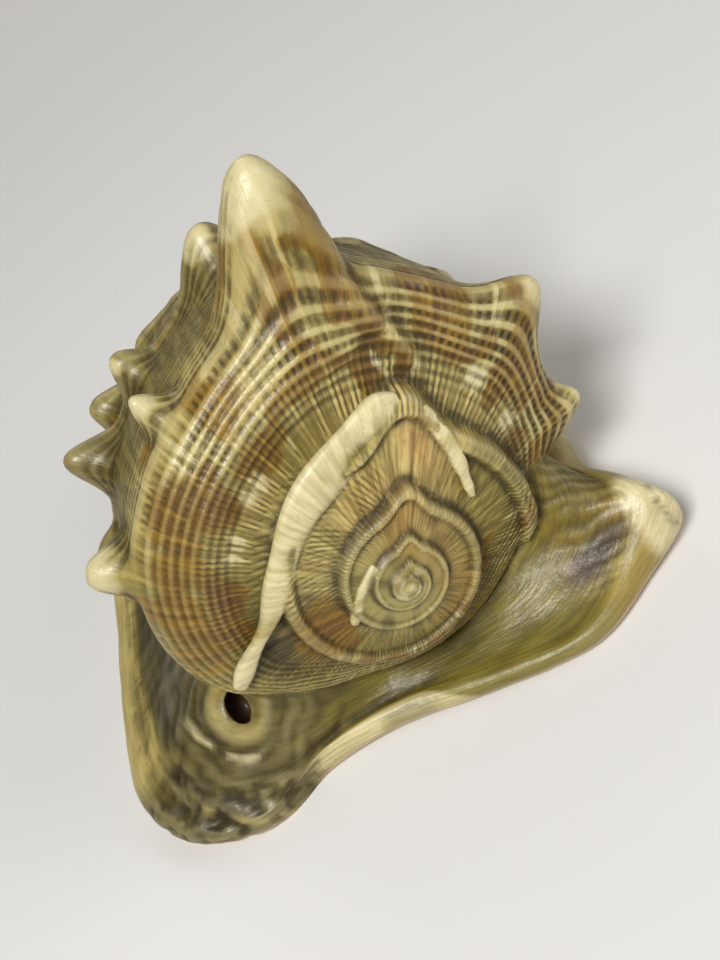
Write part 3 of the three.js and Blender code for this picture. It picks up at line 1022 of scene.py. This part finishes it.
    paint("cream", wing * bell(spread - 27, 1.0, 3) * patchy(5, 6.0, -0.1, 0.4) * 0.6)
    paint("grey", plate * spot(x, y, -38, 12, 11, 8) * (z > 14) * 0.8)
    lower = 0.45 * smoothStep(x, -16, 0) - 0.1 * cloud(points, 7, 2.0)
    edge = foot * (1 - smoothStep(inset, 0.02 - lower, 0.12 - lower))
    paint("olive", foot * (1 - smoothStep(x, 20, 34)))
    paint("grey", foot * smoothStep(inset, 0.1, 0.3) * (1 - smoothStep(x, 0, 20)) * 0.5)
    paint("umber", foot * bell(inset - 0.24, 0.1) * (1 - smoothStep(x, -22, -6)) * 0.45)
    paint("cream", edge * 0.95)
    paint("ivory", edge * (1 - smoothStep(inset, -0.05, 0.06)) * 0.7)
    paint("amber", lip * (0.35 + 0.6 * cloud(points * np.array([1, 0.5, 1]), 9, 6.0)))
    paint("grey", plate * spot(x, y, 40, 16, 7, 7) * patchy(4, 8.0, -0.4, 0.2) * 0.6)
    paint("yellow", plate * spot(x, y, 39, -6, 9, 4) * (z < 14) * 0.8)
    blotch = plate * spot(x, y, 38, -0.5, 10, 3.6, 4) * (z > 7) * (z < 19)
    paint("mauve", blotch * patchy(4, 3.0, -0.9, -0.3, np.array([0.4, 1, 1])))
    paint("grey", plate * spot(x, y, 46, 11, 7, 7) * (z > 13) * 0.75)
    towardsTip = x + 0.3 * z - 0.4 * y
    paint("ivory", plate * smoothStep(towardsTip, 52, 56) * (1 - smoothStep(y, 6, 10)) * 0.95)
    paint("umber", plate * bell(towardsTip - 61.5, 0.5) * (y < 6) * (z > 7) * 0.7)
    paint("cream", plate * smoothStep(x, 40, 48) * smoothStep(y, 24, 40) * 0.7)
    paint("grey", plate * patchy(10, 9.0, 0.15, 0.6) * 0.45)

    # mouth side: glossy cream to peach, brown between the teeth and in the chamber
    paint("enamel", enamel)
    reach = np.hypot((x - 8) / 26, (y - 74) / 68)
    paint("peach", enamel * (1 - smoothStep(reach, 0.55, 1.0)) * 0.8)
    paint("golden", enamel * patchy(24, 1.0, 0.12, 0.5) * (1 - smoothStep(reach, 0.8, 1.6)) * 0.5)
    mouth = np.array(mouthLook["path"])
    slitX = np.interp(y, mouth[:, 1], mouth[:, 0])
    besideMouth = enamel * smoothStep(y, 14, 22) * (1 - smoothStep(y, 126, 136))
    paint("redBrown", besideMouth * bell((x - slitX) / 15, 1, 4) * 0.85)
    betweenTeeth = patchy(5, 2.0, -0.2, 0.3, np.array([0.25, 1, 1]))
    paint("amber", besideMouth * bell((x - slitX) / 24, 1, 4) * betweenTeeth * 0.5)
    paint("redBrown", inside * 0.8)
    paint("ivory", tooth * smoothStep(6.5 - z, 0, 5))

    # canal, bands and pit
    canal = skin.share("canal")
    paint("golden", canal * patchy(7, 3.0, -0.2, 0.4) * 0.7)
    paint("cream", canal * bell(y - 172, 4) * 0.8)
    # painted shade: olive along the edges of the bands, where they meet the whorl
    bandSeamShade = np.clip(4 * band * (1 - band), 0, 1) * (z > 20)
    paint("ivory", band * 0.95)
    paint("cream", band * patchy(5, 6.0, 0.0, 0.5) * 0.7)
    paint("yellow", band * bell(angle + 73, 5, 3) * 0.75)
    paint("grey", band * spot(x, z, 11.5, 69.5, 4.5, 1.1) * 0.8)
    paint("olive", bandSeamShade * patchy(6, 1.0, -0.4, 0.3) * 0.75)
    paint("redBrown", pit * 0.95)
    paint("umber", pit * 0.35)

    onWhorl = whorl * smoothStep(radius, 10, 17) * (1 - inside) * (1 - enamel)
    brown = brown * onWhorl * (1 - band)
    latticeZone = smoothStep(run, 45, 49) * (1 - 0.75 * smoothStep(run, 60, 76))
    latticeZone = latticeZone * (0.5 + 0.35 * cloud(points, 14, 3.0) + 0.55 * bell(angle - 72, 30, 4))
    latticeZone = latticeZone * (1 - 0.75 * bell(angle + 78, 34, 4))
    latticeZone = latticeZone + 0.35 * bell(angle - 2, 26, 4) * bell(run - 55, 9, 4)
    besideHorn = 0.9 * bell(angle - 75, 30, 4) * smoothStep(run, 44, 46) * (run < 66)
    latticeZone = np.maximum(latticeZone, besideHorn)
    latticeZone = latticeZone * (1 - 0.8 * spot(angle, run, 14, 66, 15, 10, 4))
    threadZone = smoothStep(run, 33, 36) * (1 - smoothStep(run, 45, 50))
    ribZone = smoothStep(radius, 11, 14) * (radius < 33) * (run < 60) * (1 - bell(angle - 39, 15))
    ribPatches = 0.2 + 0.9 * bell(angle + 25, 60, 4) + 0.8 * cloud(points, 8, 6.0)
    ribZone = ribZone * np.clip(ribPatches, 0, 1)
    masks = {
        "brown": brown,
        "red": red,
        "pale": tips * whorl,
        "lines": white * onWhorl,
        "streaky": smoothStep(radius, 7, 15) * (1 - 0.5 * band) * (1 - 0.45 * plate) * (1 - 0.5 * enamel),
        "lattice": np.clip(latticeZone, 0, 1) * onWhorl,
        "threads": np.clip(threadZone, 0, 1) * onWhorl,
        "ribs": ribZone * whorl * (1 - band),
        "shade": np.clip(0.55 * groove + 0.75 * valley, 0, 1) * (1 - enamel) * (1 - 0.6 * band),
        "paleRidges": crest * (1 - enamel),
        "smoothSkin": np.clip(enamel + inside + tooth, 0, 1),
    }
    for name, values in masks.items():
        writeNumbers(skin.obj, name, np.clip(values, 0, 1.2))
    layer = mesh.attributes.new("ground", "FLOAT_COLOR", "POINT")
    flat = np.column_stack([colour, np.ones(len(colour))]).astype(np.float32)
    layer.data.foreach_set("color", flat.ravel())
    for spare in ("across", "around"):
        if spare in mesh.attributes:
            mesh.attributes.remove(mesh.attributes[spare])
    mesh.uv_layers.remove(mesh.uv_layers["place"])


# a few shorthands for building a node tree
class Nodes:
    def __init__(self, material):
        self.tree = material.node_tree
        self.shader = self.tree.nodes["Principled BSDF"]

    def give(self, socket, value):
        if isinstance(value, bpy.types.NodeSocket):
            self.tree.links.new(value, socket)
        elif value is not None:
            socket.default_value = value

    def attribute(self, name, output="Fac"):
        node = self.tree.nodes.new("ShaderNodeAttribute")
        node.attribute_name = name
        return node.outputs[output]

    def math(self, operation, first, second=None, clamp=False):
        node = self.tree.nodes.new("ShaderNodeMath")
        node.operation = operation
        node.use_clamp = clamp
        self.give(node.inputs[0], first)
        self.give(node.inputs[1], second)
        return node.outputs[0]

    def times(self, first, second, clamp=False):
        return self.math("MULTIPLY", first, second, clamp)

    def plus(self, first, second, clamp=False):
        return self.math("ADD", first, second, clamp)

    # noise of 0 to 1 as a swing to both sides of 0
    def swing(self, noise, size):
        return self.times(self.math("SUBTRACT", noise, 0.5), size)

    # 0 below low, 1 above high, smooth between
    def between(self, value, low, high):
        node = self.tree.nodes.new("ShaderNodeMapRange")
        node.interpolation_type = "SMOOTHSTEP"
        self.give(node.inputs["Value"], value)
        node.inputs["From Min"].default_value = low
        node.inputs["From Max"].default_value = high
        return node.outputs[0]

    def mix(self, share, first, second, blend="MIX"):
        node = self.tree.nodes.new("ShaderNodeMix")
        node.data_type = "RGBA"
        node.blend_type = blend
        self.give(node.inputs[0], share)
        for socket, value in ((node.inputs[6], first), (node.inputs[7], second)):
            self.give(socket, value + (1.0,) if isinstance(value, tuple) else value)
        return node.outputs[2]

    def noise(self, vector, scale, detail=2.0, roughness=0.5):
        node = self.tree.nodes.new("ShaderNodeTexNoise")
        self.give(node.inputs["Vector"], vector)
        node.inputs["Scale"].default_value = scale
        node.inputs["Detail"].default_value = detail
        node.inputs["Roughness"].default_value = roughness
        return node.outputs["Fac"]


glazeLook = {
    "roughness": 0.4,
    "coat": 0.2,
    "coatRoughness": 0.22,
    "bumpDistance": 0.0004,
    "fineScale": 900.0,
    "smallScale": 330.0,
    "broadScale": 85.0,
    "streaks": (7.0, 150.0),         # cells along 100 mm of profile, and around a turn
    "cordStreaks": (30.0, 22.0),
    "ribs": 98,
    "ribSkew": 0.094,
    "lightStreak": (1.3, 1.28, 1.3),
    "darkStreak": (0.55, 0.5, 0.42),
}


def glazedShell():
    print("glaze")
    look = glazeLook
    material = bpy.data.materials.new("glazedShell")
    material.use_nodes = True
    nodes = Nodes(material)
    times, plus, swing, between, mask = nodes.times, nodes.plus, nodes.swing, nodes.between, nodes.attribute
    place = nodes.tree.nodes.new("ShaderNodeTexCoord").outputs["Object"]
    uv = nodes.tree.nodes.new("ShaderNodeUVMap")
    uv.uv_map = "form"
    split = nodes.tree.nodes.new("ShaderNodeSeparateXYZ")
    nodes.give(split.inputs[0], uv.outputs[0])
    run, turn = split.outputs[0], split.outputs[1]

    # on a cylinder, so that the two ends of a turn meet
    circle = times(turn, 2 * math.pi)
    sine = nodes.math("SINE", circle)
    cosine = nodes.math("COSINE", circle)

    def wrapped(alongRun, aroundTurn):
        join = nodes.tree.nodes.new("ShaderNodeCombineXYZ")
        nodes.give(join.inputs[0], times(sine, aroundTurn / (2 * math.pi)))
        nodes.give(join.inputs[1], times(cosine, aroundTurn / (2 * math.pi)))
        nodes.give(join.inputs[2], times(run, alongRun))
        return join.outputs[0]

    fine = nodes.noise(place, look["fineScale"], 3.0, 0.6)
    small = nodes.noise(place, look["smallScale"], 3.0, 0.6)
    broad = nodes.noise(place, look["broadScale"], 3.0, 0.55)
    streak = nodes.noise(wrapped(*look["streaks"]), 1.0, 3.0, 0.6)
    beads = nodes.noise(wrapped(*look["cordStreaks"]), 1.0, 2.0, 0.5)

    # cords run round the whorl, threads run across them
    wobble = swing(broad, 0.9)
    cord = nodes.math("COSINE", times(run, 100 * 2 * math.pi / paintLook["cordSpacing"]))
    threadTurns = times(turn, 360 * 2 * math.pi / paintLook["threadAngle"])
    thread = nodes.math("COSINE", plus(threadTurns, times(wobble, 3.0)))
    dash = times(between(cord, 0.35, -0.35), between(thread, 0.25, -0.45))
    dash = times(dash, between(beads, 0.36, 0.56))

    colour = ground = mask("ground", "Color")

    # a share of a colour over what is there
    def over(share, paint):
        nonlocal colour
        colour = nodes.mix(share, colour, palette[paint] if isinstance(paint, str) else paint)

    light = nodes.mix(1.0, ground, look["lightStreak"], "MULTIPLY")
    deep = nodes.mix(1.0, ground, look["darkStreak"], "MULTIPLY")
    over(mask("streaky"), nodes.mix(between(streak, 0.3, 0.7), deep, light))
    over(times(between(small, 0.5, 0.75), 0.45), ground)

    brownNoise = plus(swing(streak, 1.1), swing(broad, 0.7))
    brownHere = times(mask("brown"), 2.2, True)
    brownEdge = plus(mask("brown"), times(brownNoise, brownHere))
    redness = plus(mask("red"), swing(broad, 1.6), True)
    brown = nodes.mix(redness, palette["golden"], palette["redBrown"])
    brown = nodes.mix(between(streak, 0.42, 0.7), brown, palette["amber"])
    brownShare = times(between(brownEdge, 0.18, 0.5), 0.95)
    over(brownShare, brown)

    lattice, threads, ribs = mask("lattice"), mask("threads"), mask("ribs")
    crestShare = times(times(between(cord, 0.1, 0.8), lattice), 0.7, True)
    crestShare = times(crestShare, nodes.math("SUBTRACT", 1.0, times(brownShare, 0.72)))
    over(crestShare, "cordCream")
    over(times(times(dash, lattice), 0.88), "umber")
    threadLine = times(between(thread, 0.2, -0.6), threads)
    over(times(times(threadLine, between(streak, 0.35, 0.6)), 0.75), "umber")
    ribTurns = nodes.math("LOGARITHM", nodes.math("MAXIMUM", run, 0.01), math.e)
    ribTurns = times(plus(times(ribTurns, look["ribSkew"]), turn), look["ribs"] * 2 * math.pi)
    rib = nodes.math("COSINE", plus(ribTurns, times(wobble, 5.0)))
    ribLine = times(times(between(rib, 0.1, -0.7), ribs), between(beads, 0.62, 0.42))
    over(times(ribLine, 0.8), "grey")

    pale = plus(plus(mask("pale"), swing(broad, 0.9)), swing(beads, 0.4))
    over(times(between(pale, 0.2, 0.55), 0.6), "cream")
    over(times(between(pale, 0.35, 0.95), 0.75), "ivory")
    lines = plus(times(mask("lines"), 0.75), swing(streak, 3.4))
    lines = times(between(lines, 0.4, 0.95), mask("lines"), True)
    over(times(lines, 0.9), "ivory")
    # ivory over the raised ridges: paler on the ridges
    over(times(mask("paleRidges"), 0.18), "ivory")
    # painted shade in the grooves and valleys, from the shade mask
    over(times(times(mask("shade"), between(small, 0.2, 0.6)), 0.8), "umber")
    over(times(between(fine, 0.62, 0.72), 0.25), "umber")
    nodes.give(nodes.shader.inputs["Base Color"], colour)

    rough = times(nodes.math("SUBTRACT", small, 0.4), 0.35)
    rough = plus(rough, times(mask("shade"), 0.25))
    nodes.give(nodes.shader.inputs["Roughness"], plus(rough, look["roughness"], True))
    nodes.shader.inputs["Coat Weight"].default_value = look["coat"]
    nodes.shader.inputs["Coat Roughness"].default_value = look["coatRoughness"]

    height = times(times(thread, 0.07), nodes.math("MAXIMUM", lattice, threads))
    height = plus(height, times(times(rib, 0.15), ribs))
    height = plus(height, times(times(streak, 0.7), mask("streaky")))
    height = plus(height, times(small, 0.35))
    height = plus(height, times(fine, 0.12))
    bump = nodes.tree.nodes.new("ShaderNodeBump")
    bump.inputs["Distance"].default_value = look["bumpDistance"]
    calm = nodes.math("SUBTRACT", 1.0, times(mask("smoothSkin"), 0.75))
    nodes.give(bump.inputs["Strength"], calm)
    nodes.give(bump.inputs["Height"], height)
    nodes.give(nodes.shader.inputs["Normal"], bump.outputs[0])
    nodes.give(nodes.shader.inputs["Coat Normal"], bump.outputs[0])
    return material


# the joins between regions are rounded off, as they grew together
softening = ((("band",), 1.0), (("plate",), 0.9), (("tooth", "fold"), 0.5), (("inside",), 0.5))


def softenSeams(obj):
    print("softening the joins")
    skin = Skin(obj)
    weight = np.zeros(skin.count)
    for names, strength in softening:
        share = skin.share(*names, smoothing=4)
        weight = np.maximum(weight, strength * np.clip(6 * share * (1 - share), 0, 1))
    weight = np.where(skin.points[:, 2] < 0.2, 0, weight)
    points = skin.points
    for _ in range(7):
        mean = np.column_stack([skin.smooth(points[:, axis]) for axis in range(3)])
        points = points + (mean - points) * weight[:, None] * 1.6
    setVertices(obj, points * mm)


softenSeams(shell)
makePaint(Skin(shell))
shell.data.materials.clear()
shell.data.materials.append(glazedShell())

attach(shell, "root")
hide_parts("shell")

# floor, light, camera; places and sizes in metres
studioLook = {
    "floorSize": 6,
    "floorColour": (0.74, 0.73, 0.71, 1),
    "floorRoughness": 0.9,
    # name, place, power, size
    "lights": (
        ("keyLight", (-0.25, -0.5, 0.8), 6.4, 0.3),
        ("fillLight", (0.7, -0.25, 0.45), 1.7, 0.5),
        ("backLight", (0.1, 0.8, 0.6), 1.6, 0.6),
    ),
    "worldColour": (1, 0.98, 0.93, 1),
    "worldStrength": 0.13,
}


def plainNode(data, node, values):
    data.use_nodes = True
    for name, value in values.items():
        data.node_tree.nodes[node].inputs[name].default_value = value


def makeFloor():
    look = studioLook
    bpy.ops.object.select_all(action="DESELECT")
    bpy.ops.mesh.primitive_plane_add(size=look["floorSize"], location=(0, 0, -0.0002))
    floor = bpy.context.object
    floor.name = "floor"
    pale = bpy.data.materials.new("paleFloor")
    plainNode(pale, "Principled BSDF", {
        "Base Color": look["floorColour"],
        "Roughness": look["floorRoughness"],
    })
    floor.data.materials.append(pale)


cameraLook = {
    "elevation": 43,
    "roll": 39,
    "distance": 300,
    "aside": 6.3,
    "above": 25.65,
    "lens": 51.75,
}


def makeCamera():
    look = cameraLook
    rise = math.radians(look["elevation"])
    roll = math.radians(look["roll"])
    view = Vector((0, math.cos(rise), -math.sin(rise)))
    up = Vector((0, math.sin(rise), math.cos(rise)))
    right = Vector((1, 0, 0))
    tip = Vector(apex)
    place = tip - view * look["distance"] + right * look["aside"] + up * look["above"]
    pictureUp = up * math.cos(roll) + right * math.sin(roll)
    pictureRight = right * math.cos(roll) - up * math.sin(roll)
    turn = Matrix((pictureRight, pictureUp, -view)).transposed()
    bpy.ops.object.camera_add()
    camera = bpy.context.object
    camera.matrix_world = Matrix.Translation(place * mm) @ turn.to_4x4()
    camera.data.lens = look["lens"]
    camera.data.sensor_width = 36
    camera.data.clip_start = 0.01
    bpy.context.scene.camera = camera


def areaLight(name, place, power, size):
    bpy.ops.object.light_add(type="AREA", location=place)
    light = bpy.context.object
    light.name = name
    light.data.energy = power
    light.data.size = size
    light.rotation_euler = (-Vector(place)).to_track_quat("-Z", "Y").to_euler()


print("floor, light and camera")
makeFloor()
makeCamera()
for light in studioLook["lights"]:
    areaLight(*light)
world = bpy.data.worlds.new("studio")
plainNode(world, "Background", {
    "Color": studioLook["worldColour"],
    "Strength": studioLook["worldStrength"],
})
bpy.context.scene.world = world
bpy.context.scene.view_settings.view_transform = "Standard"
bpy.context.scene.view_settings.look = "Medium High Contrast"
